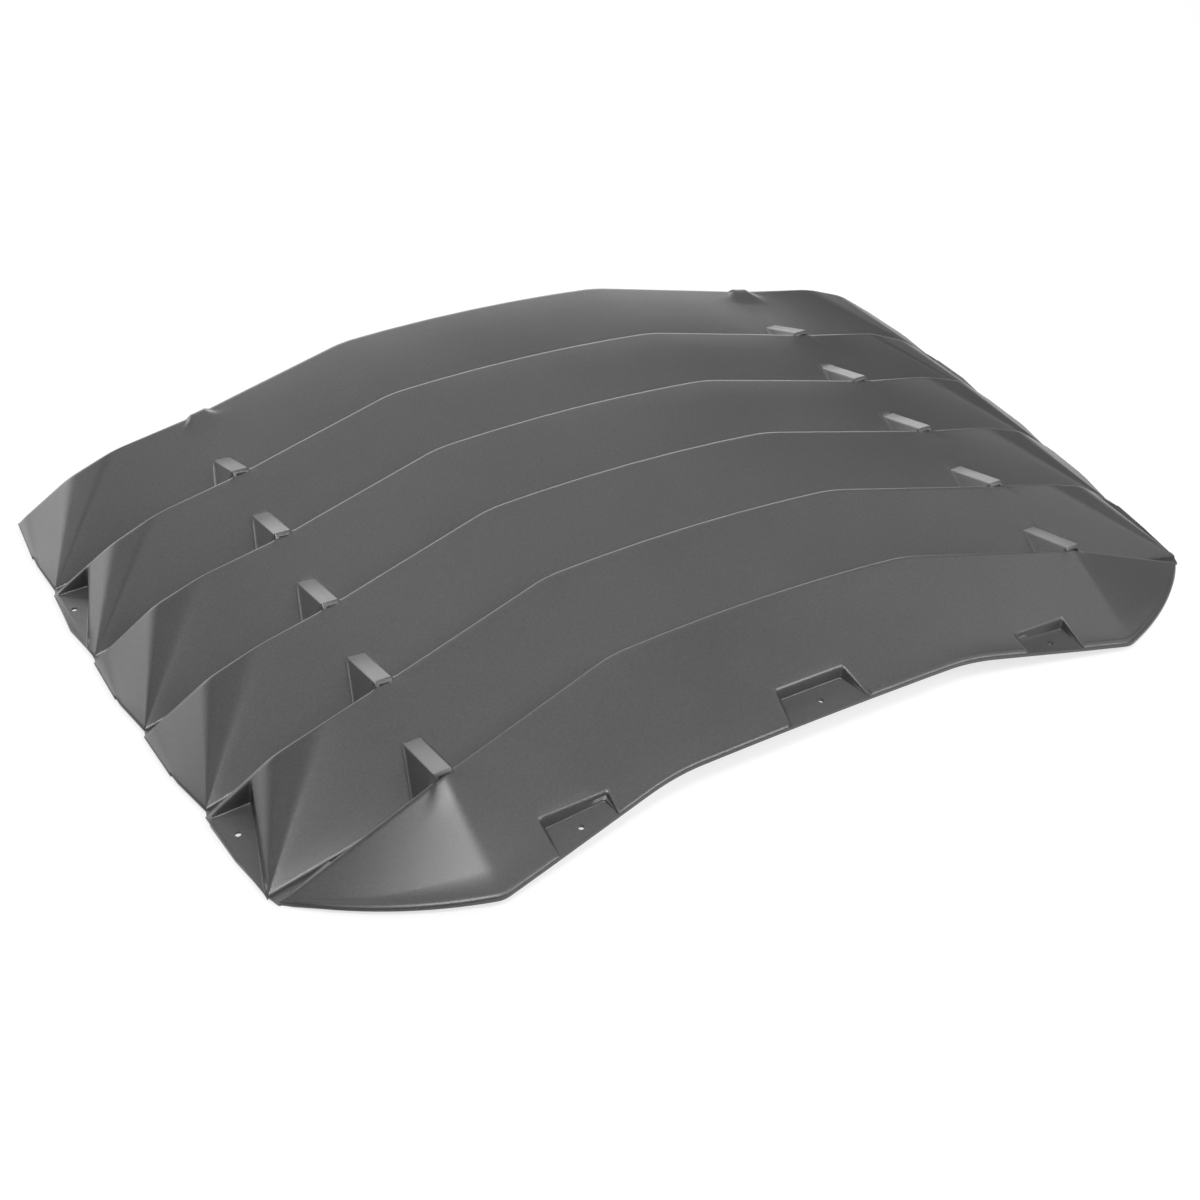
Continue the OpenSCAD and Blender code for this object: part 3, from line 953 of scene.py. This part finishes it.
def recess_cavity(j, side):
    """The open space over a base plate, with a rounded root and a rounded lip."""
    heights = []
    for p in recess_path(j, 0, 0, RECESS_CORNER_R):
        heights.append(slat_top(j, p.x, p.y) - plate_top(j, p.x, p.y))
    lean_here = RECESS_LEAN * min(1, heights[PATH_PARTS] / LEANING_HEIGHT)
    needed = RECESS_FLOOR_R + RECESS_LIP_R + RECESS_LEAST_HEIGHT
    loops = []
    for kind, inset, rise in cavity_levels(RECESS_FLOOR_R, RECESS_LIP_R, RECESS_CLEARANCE):
        loop = []
        for k, tall in enumerate(heights):
            part = max(LEAST_PART, min(1, tall / needed))
            lean = lean_here * part if kind == "floor" else 0
            if kind == "above":
                part = 1
            out = -inset * part
            p = recess_path(j, out - lean, out - REAR_LEAN_SHARE * lean, RECESS_CORNER_R)[k]
            low = plate_top(j, p.x, p.y)
            if kind == "floor":
                low -= FLOOR_CUT
            else:
                low = max(slat_top(j, p.x, p.y), low + RECESS_LEAST_HEIGHT)
            loop.append(Vector((p.x, p.y, low + rise * part)))
        corner_out = Vector((loop[-1].x, loop[0].y, mix(loop[0].z, loop[-1].z, 0.5)))
        if kind == "floor":
            corner_out.z = plate_top(j, corner_out.x, corner_out.y) - FLOOR_CUT + rise
        loop.append(corner_out)
        loops.append(loop)
    made = make_object("recess_cavity", *closed_grid(loops))
    return mirrored(made) if side < 0 else made


for slat_number in RECESS_SLATS:
    for slat_side in (-1, 1):
        combine(shell, "UNION", [base_plate(slat_number, slat_side), recess_wall(slat_number, slat_side)])
        combine(shell, "DIFFERENCE", [recess_cavity(slat_number, slat_side)])
combine(shell, "DIFFERENCE", pockets(pocket_cavity, "pocket_cavity"))


# Node trees


class Link:
    """One output socket in a node tree, with arithmetic written as Python expressions."""

    def __init__(self, tree, socket):
        self.tree = tree
        self.socket = socket

    def math(self, operation, a, b):
        return self.tree.node("ShaderNodeMath", {"operation": operation}, {0: a, 1: b})

    def __add__(self, other):
        return self.math("ADD", self, other)

    def __radd__(self, other):
        return self.math("ADD", other, self)

    def __mul__(self, other):
        return self.math("MULTIPLY", self, other)


class Tree:
    """A node tree and the one way in which its nodes are made."""

    def __init__(self, nodes_of):
        self.tree = nodes_of
        self.tree.nodes.clear()

    def node(self, kind, settings=None, inputs=None, output=0):
        made = self.tree.nodes.new(kind)
        for key, value in (settings or {}).items():
            if key == "stops":
                for element, (place, colour) in zip(made.color_ramp.elements, value):
                    element.position = place
                    element.color = colour
            else:
                setattr(made, key, value)
        for key, value in (inputs or {}).items():
            if isinstance(value, Link):
                self.tree.links.new(value.socket, made.inputs[key])
            else:
                made.inputs[key].default_value = value
        return Link(self, made.outputs[output] if len(made.outputs) else None)


def new_material(name):
    """An empty material and its tree."""
    material = bpy.data.materials.new(name)
    material.use_nodes = True
    return material, Tree(material.node_tree)


DARK_PLASTIC = (0.03, 0.03, 0.031, 1)
PALE_PLASTIC = (0.048, 0.048, 0.049, 1)


def moulded_plastic():
    """Satin black plastic with a fine grain and a faint cloudiness."""
    material, tree = new_material("louver_plastic")
    place = tree.node("ShaderNodeTexCoord", output="Object")

    def noise(scale, detail, roughness):
        values = {"Vector": place, "Scale": scale, "Detail": detail, "Roughness": roughness}
        return tree.node("ShaderNodeTexNoise", {}, values)

    grain = noise(900, 3, 0.6)
    cloud = noise(7, 3, 0.5)
    speck = noise(420, 2, 0.7)
    stops = ((0.35, DARK_PLASTIC), (0.65, PALE_PLASTIC))
    colour = tree.node("ShaderNodeValToRGB", {"stops": stops}, {"Fac": cloud * 0.3 + speck * 0.7})
    roughness = 0.3 + cloud * 0.06 + grain * 0.08
    bump = tree.node("ShaderNodeBump", {}, {"Strength": 0.25, "Distance": 0.0003, "Height": grain})
    surface = tree.node(
        "ShaderNodeBsdfPrincipled", {},
        {"Base Color": colour, "Roughness": roughness, "Specular IOR Level": 0.75, "Normal": bump})
    tree.node("ShaderNodeOutputMaterial", {}, {"Surface": surface})
    return material


plastic = moulded_plastic()


# Screw holes: a node tree sets one cylinder at each place

HOLE_PARTS = 40
HOLE_LENGTH = 130
HOLE_START = -15
# The base plates are hollowed from below around their holes
RELIEF_D = 18
RELIEF_ROOF = 2.5
SIDE_POCKET_HOLE = Vector((POCKET_X + 2, front_rim(POCKET_X).y + 12, 0))
MIDDLE_POCKET_HOLE = Vector((0, FRONT_CROWN.y + 18, 0))


def hole_tree():
    """Cylinders on the points of a mesh, with named inputs for their sizes."""
    group = bpy.data.node_groups.new("screw_holes", "GeometryNodeTree")
    faces = group.interface
    for name, kind in (
            ("Places", "NodeSocketGeometry"), ("Radius", "NodeSocketFloat"), ("Length", "NodeSocketFloat"),
            ("Material", "NodeSocketMaterial")):
        faces.new_socket(name, in_out="INPUT", socket_type=kind)
    faces.new_socket("Cylinders", in_out="OUTPUT", socket_type="NodeSocketGeometry")
    tree = Tree(group)
    given = tree.node("NodeGroupInput").socket.node.outputs
    places, radius, length, material = (Link(tree, given[k]) for k in range(4))
    cylinder = tree.node(
        "GeometryNodeMeshCylinder", {}, {"Vertices": HOLE_PARTS, "Radius": radius, "Depth": length})
    placed = tree.node("GeometryNodeInstanceOnPoints", {}, {"Points": places, "Instance": cylinder})
    real = tree.node("GeometryNodeRealizeInstances", {}, {"Geometry": placed})
    finished = tree.node("GeometryNodeSetMaterial", {}, {"Geometry": real, "Material": material})
    tree.node("NodeGroupOutput", {}, {"Cylinders": finished})
    return group


def screw_holes(places, radius):
    """One closed solid cylinder around each place, as a single mesh."""
    made = bpy.data.objects.new("screw_holes", bpy.data.meshes.new("screw_holes"))
    made.data.from_pydata([p * MM for p in places], [], [])
    bpy.context.scene.collection.objects.link(made)
    group = hole_tree()
    step = made.modifiers.new("holes", "NODES")
    step.node_group = group
    values = {"Radius": radius * MM, "Length": HOLE_LENGTH * MM, "Material": plastic}
    for item in group.interface.items_tree:
        if item.name in values:
            step[item.identifier] = values[item.name]
    graph = bpy.context.evaluated_depsgraph_get()
    baked = bpy.data.meshes.new_from_object(made.evaluated_get(graph))
    made.modifiers.clear()
    made.data = baked
    return made


holes = [MIDDLE_POCKET_HOLE, SIDE_POCKET_HOLE, flipped(SIDE_POCKET_HOLE)]
reliefs = []
for slat_number in RECESS_SLATS:
    hole = recess_hole(slat_number)
    holes += [hole, flipped(hole)]
    roof = plate_top(slat_number, hole.x, hole.y) - RELIEF_ROOF
    reliefs += [p + UP * (roof - HOLE_LENGTH / 2) for p in (hole, flipped(hole))]
holes = [p + UP * (HOLE_START + HOLE_LENGTH / 2) for p in holes]
combine(shell, "DIFFERENCE", [screw_holes(holes, HOLE_D / 2), screw_holes(reliefs, RELIEF_D / 2)])


# Shading

SHARP_ANGLE = math.radians(32)
shell.data.shade_smooth()
shell.data.set_sharp_from_angle(angle=SHARP_ANGLE)
shell.data.materials.clear()
shell.data.materials.append(plastic)
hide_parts("louver")
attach(shell, "root")


# Floor, world, lamps and camera

FLOOR_SIZE = 30
FLOOR_WHITE = 0.7
HORIZON_LIGHT = 0.7
SKY_LIGHT = 0.15


def seen_rays(tree):
    """1 for the rays that show the background: from the camera, a reflection or through glass."""
    kinds = ("Is Camera Ray", "Is Glossy Ray", "Is Transmission Ray")
    camera, glossy, clear = (tree.node("ShaderNodeLightPath", output=kind) for kind in kinds)
    return camera + glossy + clear


def floor_material():
    """Near-white floor that keeps the object's shadow."""
    material, tree = new_material("pale_floor")
    matt = tree.node("ShaderNodeBsdfDiffuse", {}, {"Color": (0.88, 0.88, 0.88, 1)})
    white = tree.node("ShaderNodeEmission", {}, {"Color": (1, 1, 1, 1), "Strength": 1})
    mixed = tree.node("ShaderNodeMixShader", {}, {0: seen_rays(tree) * FLOOR_WHITE, 1: matt, 2: white})
    tree.node("ShaderNodeOutputMaterial", {}, {"Surface": mixed})
    return material


def make_floor():
    h = FLOOR_SIZE / 2
    mesh = bpy.data.meshes.new("floor")
    mesh.from_pydata([(-h, -h, 0), (h, -h, 0), (h, h, 0), (-h, h, 0)], [], [(0, 1, 2, 3)])
    mesh.materials.append(floor_material())
    floor = bpy.data.objects.new("floor", mesh)
    bpy.context.scene.collection.objects.link(floor)


def make_world():
    """Dim light from above that grows bright towards the horizon."""
    world = bpy.data.worlds.new("studio")
    bpy.context.scene.world = world
    world.use_nodes = True
    tree = Tree(world.node_tree)
    direction = tree.node("ShaderNodeTexCoord", output="Generated")
    height = tree.node("ShaderNodeSeparateXYZ", {}, {"Vector": direction}, output="Z")
    light = tree.node(
        "ShaderNodeMapRange", {"interpolation_type": "SMOOTHSTEP"},
        {"Value": height, "From Min": 0.05, "From Max": 0.2, "To Min": HORIZON_LIGHT, "To Max": SKY_LIGHT})
    background = tree.node("ShaderNodeBackground", {}, {"Strength": light})
    tree.node("ShaderNodeOutputWorld", {}, {"Surface": background})


# Lamps that face the middle of the part: name, place, size in metres and power
LAMPS = (
    ("ceiling", (0.5, 0.9, 2.8), (3, 2), 20),
    ("front_top", (-0.65, -1.15, 2.5), (0.7, 0.7), 43),
    ("rear", (0.5, 3, 1.1), (5.4, 2), 102),
    ("left_rear", (-2.3, 2.2, 1.7), (1.4, 1.4), 22),
    ("right", (2.5, -0.3, 2.2), (1.4, 1.4), 9),
    ("front_right", (1.4, -2.1, 2.1), (1.3, 1.3), 55),
)


def make_lamp(name, place, size, power):
    """An area lamp that the camera doesn't see."""
    lamp = bpy.data.lights.new(name, "AREA")
    lamp.shape = "RECTANGLE"
    lamp.size, lamp.size_y = size
    lamp.energy = power
    made = bpy.data.objects.new(name, lamp)
    made.location = place
    made.rotation_euler = (-Vector(place)).to_track_quat("-Z", "Y").to_euler()
    made.visible_camera = False
    bpy.context.scene.collection.objects.link(made)


IMAGE_SIZE = 1200
SENSOR = 36
FOCAL_PIXELS = 1482.3
CENTRE_X = 658.7
CENTRE_Y = 725.4
CAMERA_AZIMUTH = math.radians(-35.31)
CAMERA_ELEVATION = math.radians(42.27)
CAMERA_ROLL = math.radians(5.28)
CAMERA_PLACE = at(-769.9, -847.6, 989.7) * MM


def make_camera():
    """The photo's camera, fitted to mirrored points of the part."""
    camera = bpy.data.cameras.new("camera")
    camera.sensor_width = SENSOR
    camera.lens = FOCAL_PIXELS / IMAGE_SIZE * SENSOR
    camera.shift_x = (IMAGE_SIZE / 2 - CENTRE_X) / IMAGE_SIZE
    camera.shift_y = (CENTRE_Y - IMAGE_SIZE / 2) / IMAGE_SIZE
    back = Vector((
        math.sin(CAMERA_AZIMUTH) * math.cos(CAMERA_ELEVATION),
        -math.cos(CAMERA_AZIMUTH) * math.cos(CAMERA_ELEVATION), math.sin(CAMERA_ELEVATION)))
    right = UP.cross(back).normalized()
    up = back.cross(right)
    turned_up = up * math.cos(CAMERA_ROLL) - right * math.sin(CAMERA_ROLL)
    turned_right = right * math.cos(CAMERA_ROLL) + up * math.sin(CAMERA_ROLL)
    turn = Matrix((turned_right, turned_up, back)).transposed().to_4x4()
    made = bpy.data.objects.new("camera", camera)
    made.matrix_world = Matrix.Translation(CAMERA_PLACE) @ turn
    bpy.context.scene.collection.objects.link(made)
    bpy.context.scene.camera = made


make_floor()
make_world()
for lamp_values in LAMPS:
    make_lamp(*lamp_values)
make_camera()
bpy.context.scene.view_settings.view_transform = "Standard"
